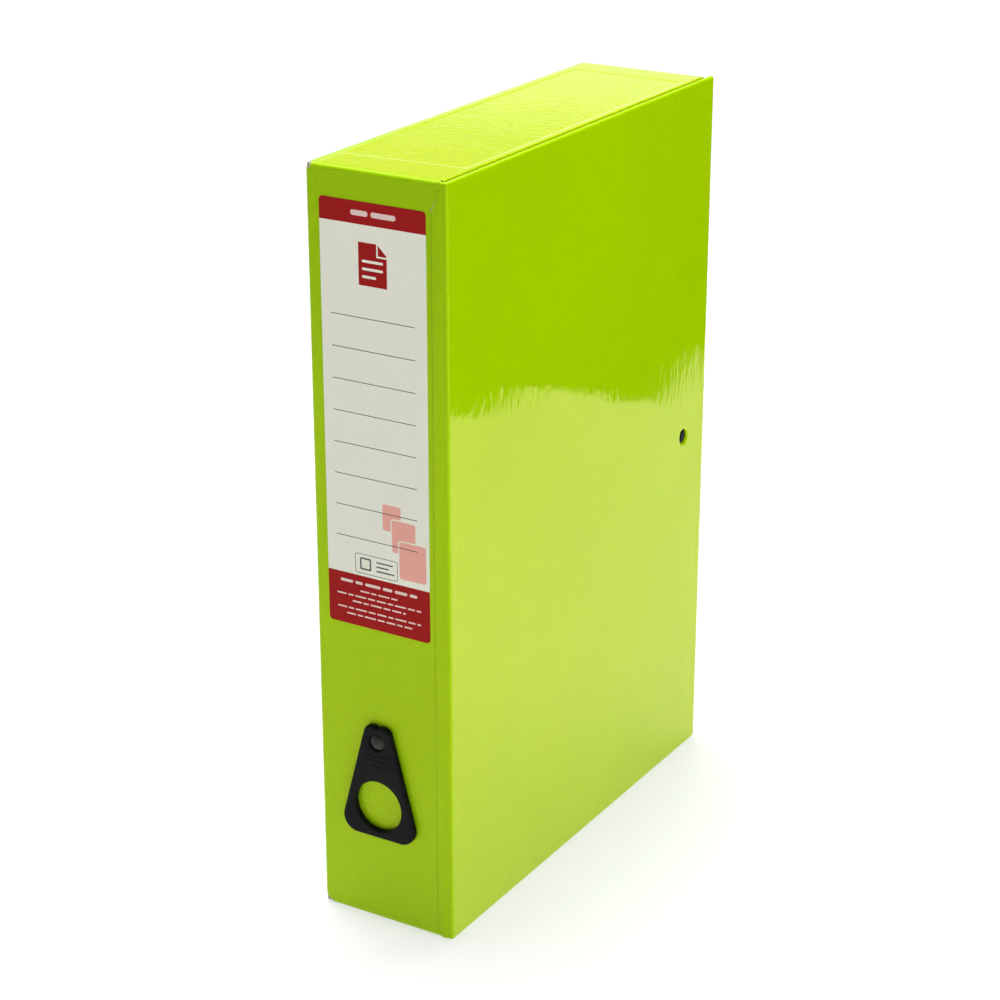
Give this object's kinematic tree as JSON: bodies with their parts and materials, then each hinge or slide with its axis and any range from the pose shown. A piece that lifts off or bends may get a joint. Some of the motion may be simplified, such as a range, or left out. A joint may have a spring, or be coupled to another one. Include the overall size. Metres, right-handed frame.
{
  "type": "box file",
  "caption": "Upright foolscap box file: laminated board tray and side-hinged lid, spine label, riveted ring pull, press catch, and a sprung paper clamp inside.",
  "frame": {"origin": "centre of the bounding box at the tail, the end it stands on", "axes": "+X from the base's outer face to the lid, across the spine's width; +Y from the spine to the fore edge; +Z from the tail up to the head"},
  "size_m": [0.0756, 0.2605, 0.378],
  "materials": {
    "greyboard": "raw grey recycled board",
    "lime_laminate": "glossy lime-green laminated paper",
    "lining_paper": "matt pale grey lining paper with a fine cloudy print",
    "label_paper": "matt white label with a red head and foot band",
    "black_plastic": "satin black moulded polypropylene",
    "gunmetal": "dark bronzed rivet",
    "nickel_steel": "bright nickel-plated pressed steel",
    "spring_steel": "drawn spring wire"
  },
  "bodies": {
    "tray": {"base_board": "greyboard", "spine_board": "greyboard", "fore_edge_board": "greyboard", "head_board": "greyboard", "tail_board": "greyboard", "outer_wrap_paper": "lime_laminate", "hinge_strip_paper": "lime_laminate", "inner_hinge_paper": "lime_laminate", "head_end_paper": "lime_laminate", "tail_end_paper": "lime_laminate", "base_lining_paper": "lining_paper", "wall_lining_paper": "lining_paper", "spine_label": "label_paper", "ring_pull_rivet": "gunmetal", "ring_pull_washer": "nickel_steel", "catch_foot": "black_plastic", "catch_rivets": "nickel_steel", "clamp_base_plate": "nickel_steel", "clamp_pin": "nickel_steel", "clamp_spring_upper": "spring_steel", "clamp_spring_lower": "spring_steel", "clamp_base_rivets": "nickel_steel"},
    "lid": {"lid_board": "greyboard", "lid_lining_paper": "lining_paper", "lid_cover_paper": "lime_laminate"},
    "pull_root": {"ring_pull_root": "black_plastic"},
    "pull_loop": {"ring_pull_loop": "black_plastic"},
    "catch": {"catch_button": "black_plastic"},
    "arm": {"clamp_arm": "nickel_steel"},
    "presser": {"pressure_plate": "nickel_steel", "pressure_plate_pin": "nickel_steel"}
  },
  "joints": [
    {"name": "lid_hinge", "type": "hinge", "parent": "tray", "child": "lid", "pos_m": [0.0349, -0.12675, 0.189], "axis": [0, 0, -1], "range_deg": [0, 175]},
    {"name": "pull_swivel", "type": "hinge", "parent": "tray", "child": "pull_root", "pos_m": [-0.0024, -0.12675, 0.0985], "axis": [0, -1, 0], "range_deg": [-12, 12]},
    {"name": "pull_flex", "type": "hinge", "parent": "pull_root", "child": "pull_loop", "pos_m": [-0.0024, -0.13005, 0.092], "axis": [-1, 0, 0], "range_deg": [0, 35], "stiffness_Nm_per_rad": 0.02},
    {"name": "catch_press", "type": "slide", "parent": "tray", "child": "catch", "axis": [-1, 0, 0], "range_m": [0, 0.0026], "stiffness_N_per_m": 800, "springref_m": -0.001},
    {"name": "clamp_lift", "type": "hinge", "parent": "tray", "child": "arm", "pos_m": [-0.0275, -0.10075, 0.189], "axis": [0, 0, -1], "range_deg": [0, 92], "stiffness_Nm_per_rad": 0.08, "springref_deg": -57.3, "deforming": ["clamp_spring_upper", "clamp_spring_lower"]},
    {"name": "presser_tilt", "type": "hinge", "parent": "arm", "child": "presser", "pos_m": [-0.0275, -0.05275, 0.189], "axis": [0, 0, -1], "range_deg": [-8, 8]}
  ]
}
